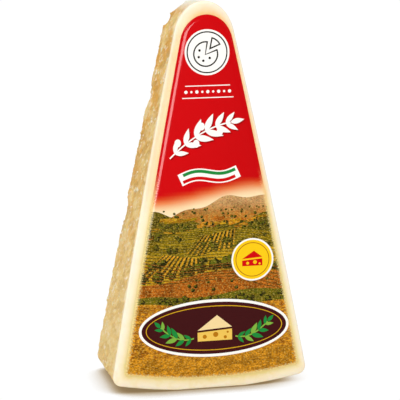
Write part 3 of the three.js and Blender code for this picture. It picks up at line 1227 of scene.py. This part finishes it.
# It starts this far above a curve and is this high, in millimetres.
GRADE_TOP, GRADE_HEIGHT = 3.4, 6.0
GRADE_LEVEL, GRADE_WAVE, GRADE_STRETCH = 69.8, 2.6, 12  # the curve's height, rise and length
HAZE_LOW, HAZE_HIGH, HAZE_SHARE = 62 * MM, 69 * MM, 0.3


def ground_colour(settings, flat):
    """The label's ground: red, graded into a pale sky along a shallow curve."""
    x = flat[:, 0:1] / MM
    z = flat[:, 1:2] / MM
    curve = GRADE_LEVEL + GRADE_WAVE * np.sin(x / GRADE_STRETCH)
    share = np.clip((curve + GRADE_TOP - z) / GRADE_HEIGHT, 0, 1)
    shares = (0, *(at for at, _ in GRADE), 1.0)
    steps = np.array([settings.red, *(linear(code) for _, code in GRADE), settings.sky])
    darker_right = 1 - 0.10 * smoothstep(x, -10, 22) * (1 - share)
    return np.hstack([np.interp(share, shares, steps[:, k]) for k in range(3)]) * darker_right


def corner_inks(settings, picture, flat, top):
    """Ink, flecks and mottle of each corner of the front, from the topmost shape there.
    Shape 0 is the ground, and shape 1 the farthest hill, which stands in haze."""
    ground = ground_colour(settings, flat)
    haze = smoothstep(flat[:, 1], HAZE_LOW, HAZE_HIGH)[:, None] * HAZE_SHARE
    colours = []
    for kind in (0, 1):
        tones = np.array([(0.0, 0.0, 0.0), *(paint[kind] for paint in picture.paints)])[top]
        tones[top == 0] = ground[top == 0]
        hazy = tones * (1 - haze) + np.array(settings.sky) * haze
        colours.append(np.where((top == 1)[:, None], hazy, tones))
    return *colours, np.array([0.0, *(paint[2] for paint in picture.paints)])[top]


def label_ring(settings, wedge):
    """The label's outline, whose foot runs evenly above the wedge's rim."""
    base = LABEL_LOW.z
    foot_angle = math.asin(wedge.foot_half_width / wedge.rim_radius)
    rim_radius = wedge.rim_radius - (base + wedge.rim_radius * (1 - math.cos(foot_angle)))
    ring = slice_outline(settings, LABEL_HIGH.z, base, rim_radius, settings.side_angle)
    return ring + (settings.across, 0)


def followed(shape, ring, settings):
    """An outline with added points where it crosses the label's bent edge, so that the
    triangles there follow the bend."""
    shape = anticlockwise(shape)
    pieces = []
    for start, end in zip(shape, np.roll(shape, -1, axis=0)):
        count = max(1, math.ceil(np.linalg.norm(end - start) / BEND_STEP))
        pieces.append(start + (end - start) * np.arange(count)[:, None] / count)
    points = np.vstack(pieces)
    kept = np.zeros(len(points), bool)
    kept[np.cumsum([0, *(len(piece) for piece in pieces[:-1])])] = True
    kept |= distance_to(ring, points) < settings.edge_reach + BEND_STEP
    return points[kept]


def skin(flat, triangles, front, back):
    """Points and faces of a thin closed skin: its front, its back and the wall along the
    rim, where a triangle edge has only one triangle."""
    sides = np.vstack([triangles[:, [0, 1]], triangles[:, [1, 2]], triangles[:, [2, 0]]])
    taken = {tuple(side) for side in sides.tolist()}
    rim = np.array([side for side in sides.tolist() if (side[1], side[0]) not in taken])
    count = len(flat)
    wall = np.column_stack([rim[:, 1], rim[:, 0], rim[:, 0] + count, rim[:, 1] + count])
    faces = triangles.tolist() + (triangles[:, ::-1] + count).tolist() + wall.tolist()
    return np.vstack([front, back]), faces


def label_mesh(form, settings):
    """The label as a thin closed skin whose front is divided along the outlines of the
    printed shapes. Each corner of a triangle holds its ink."""
    ring = spaced(label_ring(settings, form.settings), LABEL_COLUMNS)
    picture = label_picture(settings)
    shapes = [followed(shape + (settings.across, 0), ring, settings) for shape in picture.shapes]
    flat, triangles, topmost = filled(ring, LABEL_INSETS, LABEL_SPACING, LABEL_MARGIN, shapes)
    surface = form.front(distance_to(form.ring, flat))
    edge = distance_to(ring, flat)
    share = np.clip(edge / settings.edge_reach, 0, 1)
    rise = FRONT_Y - LABEL_LOW.y - settings.edge_drop * (1 - share) ** 2
    front = place(flat, surface - rise)
    points, faces = skin(flat, triangles, front, place(flat, surface - LABEL_SHELF))
    mesh = bpy.data.meshes.new("printed_label")
    mesh.from_pydata(points.tolist(), [], faces)
    mesh.polygons.foreach_set("use_smooth", [True] * len(faces))
    store(mesh, "label_edge", np.tile(edge, 2))

    # The corners of the front come first. The back and the wall are white.
    top = np.repeat(topmost, 3)
    ink, fleck, mottle = corner_inks(settings, picture, flat[triangles.ravel()], top)
    for name, values in (("ink", ink), ("fleck", fleck)):
        full = np.ones((len(mesh.loops), 4))
        full[: len(top), :3] = values
        full[len(top) :, :3] = settings.white
        layer = mesh.color_attributes.new(name, "FLOAT_COLOR", "CORNER")
        layer.data.foreach_set("color", full.ravel())
    rest = np.zeros(len(mesh.loops) - len(top))
    store(mesh, "mottle", np.concatenate([mottle, rest]), "CORNER")
    return mesh


# ---- Studio -----------------------------------------------------------------------------


def basis(azimuth, elevation, roll=0.0):
    """Right, up and back of something that looks at the wedge from an azimuth to the left
    of the label and an elevation."""
    back = Vector((
        -math.sin(azimuth) * math.cos(elevation),
        -math.cos(azimuth) * math.cos(elevation),
        math.sin(elevation),
    ))
    right = Vector((0, 0, 1)).cross(back).normalized()
    up = back.cross(right)
    turned_right = right * math.cos(roll) + up * math.sin(roll)
    turned_up = up * math.cos(roll) - right * math.sin(roll)
    return turned_right, turned_up, back


def stand(thing, azimuth, elevation, distance, target, roll=0.0):
    """Puts a camera or a light where it looks at a target."""
    right, up, back = basis(azimuth, elevation, roll)
    stance = Matrix((right, up, back)).transposed().to_4x4()
    stance.translation = Vector(target) + back * distance
    thing.matrix_world = stance


# Each light: its name, azimuth and elevation in degrees, distance, width, height and
# height of its target in metres, and its power in watts.
LIGHTS = (
    ("left_softbox", 78, 12, 0.9, 0.5, 0.9, 0.07, 2.8),
    ("front_softbox", 38, 38, 1.1, 0.7, 0.7, 0.07, 1.3),
    ("right_softbox", -60, 25, 1.2, 0.6, 0.8, 0.07, 3.7),
    ("top_softbox", 0, 89, 0.9, 0.9, 0.9, 0.0, 3.8),
    ("streak_light", 9, 1, 1.2, 0.52, 0.5, 0.1, 4.1),
)
MIRRORED_LIGHTS = ("left_softbox", "front_softbox", "top_softbox", "streak_light")
FLOOR_RADIUS = 0.8
FLOOR_CORNERS = 96
# The shade on the table is painted into its glow: two ambient-occlusion readings set how dark it
# is.
SHADE_SIDE = (0.16, 0.90, 0.40)  # the shade in front of the wedge is cast from this side
SHADE_COLOUR = linear("8a7554")
SHADE_POWERS = (0.9, 1.05, 1.25)  # of the red, green and blue where the shade fades out
SHADE_RIGHT = (35 * MM, 5 * MM)  # the shade grows from the first of these to the second
SHADE_LEFT = (-56 * MM, -16 * MM)
SHADE_LIFT = 1.35  # keeps the table white where only a little of its light is lost
SHADE_LEAST, SHADE_GAIN = 0.3, 3.1  # strength at the sides, and what the middle adds
TABLE_WHITE = (0.84, 0.80, 0.72)
GLOW_COLOUR = (1.0, 0.94, 0.82, 1.0)
GLOW_STRENGTH = 0.13
MIRRORED_LOSS = 0.97  # share of its light that the table loses in reflections
SKY_MIRRORED_LOSS = 0.9
SKY_SEEN = 1.02


def floor_with_painted_shade(tree, settings):
    """Colour of the table to the eye: white, but for a painted shadow, worked out from ambient
    occlusion: a dark line round the wedge and a warm shade in front of it."""
    line = add_node(tree, "ShaderNodeAmbientOcclusion", {"Distance": settings.shade_reach})
    front = add_node(tree, "ShaderNodeAmbientOcclusion", {
        "Distance": settings.front_shade_reach, "Normal": SHADE_SIDE,
    })
    shade = calculate("MULTIPLY", line["AO"] * front["AO"], SHADE_LIFT, clamp=True)
    _, across, _ = surface_place(tree)
    middle = between(across, *SHADE_RIGHT) * between(across, *SHADE_LEFT)
    shade = shade ** (middle * SHADE_GAIN + SHADE_LEAST)
    channels = {key: shade**power for key, power in enumerate(SHADE_POWERS)}
    share = add_node(tree, "ShaderNodeCombineColor", channels)
    fading = blended(1.0, share, tuple(1 - part for part in SHADE_COLOUR), "MULTIPLY")
    return blended(1.0, fading, SHADE_COLOUR, "ADD")


def lighting_floor(path):
    """What lights the wedge from below: a warm white table with a faint glow."""
    lit = 1.0 - path["Is Glossy Ray"] * MIRRORED_LOSS
    warm = vector_sum("SCALE", TABLE_WHITE, lit)
    plain = add_node(path.tree, "ShaderNodeBsdfDiffuse", {"Color": warm})
    glow = {"Color": GLOW_COLOUR, "Strength": lit * GLOW_STRENGTH}
    glow = add_node(path.tree, "ShaderNodeEmission", glow)
    return add_node(path.tree, "ShaderNodeAddShader", {0: plain, 1: glow})


def make_floor(settings):
    """A round light table. It looks white, except close to the wedge, where a shadow is painted
    into its glow, and it is dark in reflections."""
    mesh = bpy.data.meshes.new("floor")
    ring = arc((0, 0), FLOOR_RADIUS, 0, 2 * math.pi, FLOOR_CORNERS + 1)[:-1]
    mesh.from_pydata([(x, y, 0) for x, y in ring], [], [list(range(len(ring)))])
    floor = new_object("floor", mesh)
    material, tree, shader = new_material("table")
    set_inputs(shader, {
        "Base Color": (0, 0, 0, 1),
        "Roughness": 0.6,
        "Specular IOR Level": 0.0,
        "Emission Color": floor_with_painted_shade(tree, settings),
        "Emission Strength": settings.floor_glow,
    })
    path = add_node(tree, "ShaderNodeLightPath")
    mix = add_node(tree, "ShaderNodeMixShader", {
        0: path["Is Camera Ray"], 1: lighting_floor(path), 2: Wire(shader.outputs[0]),
    })
    set_inputs(tree.nodes["Material Output"], {"Surface": mix})
    mesh.materials.append(material)


def make_world(settings):
    """White to the eye, softer as a light, and dark in reflections."""
    world = bpy.data.worlds.new("studio")
    world.use_nodes = True
    path = add_node(world.node_tree, "ShaderNodeLightPath")
    dimmed = path["Is Glossy Ray"] * (SKY_MIRRORED_LOSS * settings.surround)
    brighter = path["Is Camera Ray"] * (SKY_SEEN - settings.surround)
    strength = settings.surround - dimmed + brighter
    set_inputs(world.node_tree.nodes["Background"], {"Color": (1, 1, 1, 1), "Strength": strength})
    bpy.context.scene.world = world


def make_lights():
    """Soft lights that the camera doesn't see."""
    for name, azimuth, elevation, distance, width, tall, target, power in LIGHTS:
        light = bpy.data.lights.new(name, "AREA")
        light.shape = "RECTANGLE"
        light.size = width
        light.size_y = tall
        light.energy = power
        lamp = new_object(name, light)
        lamp.visible_camera = False
        lamp.visible_glossy = name in MIRRORED_LIGHTS
        stand(lamp, math.radians(azimuth), math.radians(elevation), distance, (0, 0, target))


def make_camera(settings):
    camera = bpy.data.cameras.new("camera")
    camera.sensor_width = 36
    camera.lens = settings.lens
    camera.clip_start = 0.01
    holder = new_object("camera", camera)
    target = (MIDDLE_X + settings.aim_across, FRONT_Y, settings.aim_height)
    stand(holder, settings.azimuth, settings.elevation, settings.distance, target, settings.roll)
    bpy.context.scene.camera = holder
    bpy.context.scene.view_settings.view_transform = "Standard"


# ---- Operators --------------------------------------------------------------------------


class CHEESE_OT_wedge(bpy.types.Operator):
    """Make the wedge of cheese with its broken faces"""

    bl_idname = "cheese.wedge"
    bl_label = "Wedge"

    def execute(self, context):
        form = WedgeForm(context.scene.wedge)
        cut = context.scene.cut_face
        mesh = wedge_mesh(form, label_ring(context.scene.label, form.settings))
        values = {name: float(getattr(cut, name)) for name in RELIEF_INPUTS}
        values["Material"] = paste_material(cut)
        piece = run_tree("cheese_wedge", mesh, relief_tree(), values)
        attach(piece, "root")
        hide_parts("cheese")
        return {"FINISHED"}


class CHEESE_OT_flecks(bpy.types.Operator):
    """Scatter pale flecks over the broken faces of the wedge"""

    bl_idname = "cheese.flecks"
    bl_label = "Flecks"

    def execute(self, context):
        wedge = bpy.data.objects.get("cheese_wedge")
        if wedge is None:
            raise RuntimeError("make the wedge before its flecks")
        cut = context.scene.cut_face
        values = {name: getattr(cut, name) for name in ("fleck_density", "fleck_size", "seed")}
        values["Material"] = fleck_material(cut)
        piece = run_tree("cheese_flecks", wedge.data.copy(), fleck_tree(), values)
        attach(piece, "root")
        return {"FINISHED"}


class CHEESE_OT_label(bpy.types.Operator):
    """Make the printed label on the front of the wedge"""

    bl_idname = "cheese.label"
    bl_label = "Label"

    def execute(self, context):
        form = WedgeForm(context.scene.wedge)
        settings = context.scene.label
        mesh = label_mesh(form, settings)
        mesh.materials.append(label_material(settings, context.scene.cut_face))
        piece = new_object("printed_label", mesh)
        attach(piece, "root")
        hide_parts("label")
        return {"FINISHED"}


class CHEESE_OT_studio(bpy.types.Operator):
    """Set up the floor, the lights and the camera"""

    bl_idname = "cheese.studio"
    bl_label = "Studio"

    def execute(self, context):
        settings = context.scene.studio
        make_floor(settings)
        make_world(settings)
        make_lights()
        make_camera(settings)
        return {"FINISHED"}


class CHEESE_PT_panel(bpy.types.Panel):
    """Sizes, colours and the buttons that make each piece"""

    bl_idname = "CHEESE_PT_panel"
    bl_label = "Cheese wedge"
    bl_space_type = "VIEW_3D"
    bl_region_type = "UI"
    bl_category = "Cheese"

    def draw(self, context):
        for group, (_, operator) in GROUPS.items():
            box = self.layout.box()
            settings = getattr(context.scene, group)
            for name in settings.__annotations__:
                box.prop(settings, name)
            box.operator(operator)


# Each group of settings, and the operator whose button stands below it in the panel.
GROUPS = {
    "wedge": (WedgeSettings, "cheese.wedge"),
    "cut_face": (CutFaceSettings, "cheese.flecks"),
    "label": (LabelSettings, "cheese.label"),
    "studio": (StudioSettings, "cheese.studio"),
}
CLASSES = (
    *(group for group, _ in GROUPS.values()),
    CHEESE_OT_wedge,
    CHEESE_OT_flecks,
    CHEESE_OT_label,
    CHEESE_OT_studio,
    CHEESE_PT_panel,
)


def register():
    for entry in CLASSES:
        bpy.utils.register_class(entry)
    for name, (group, _) in GROUPS.items():
        setattr(bpy.types.Scene, name, PointerProperty(type=group))


def unregister():
    for name in GROUPS:
        delattr(bpy.types.Scene, name)
    for entry in reversed(CLASSES):
        bpy.utils.unregister_class(entry)


def main():
    register()
    bpy.ops.cheese.studio()
    bpy.ops.cheese.wedge()
    bpy.ops.cheese.flecks()
    bpy.ops.cheese.label()


if __name__ == "__main__":
    main()
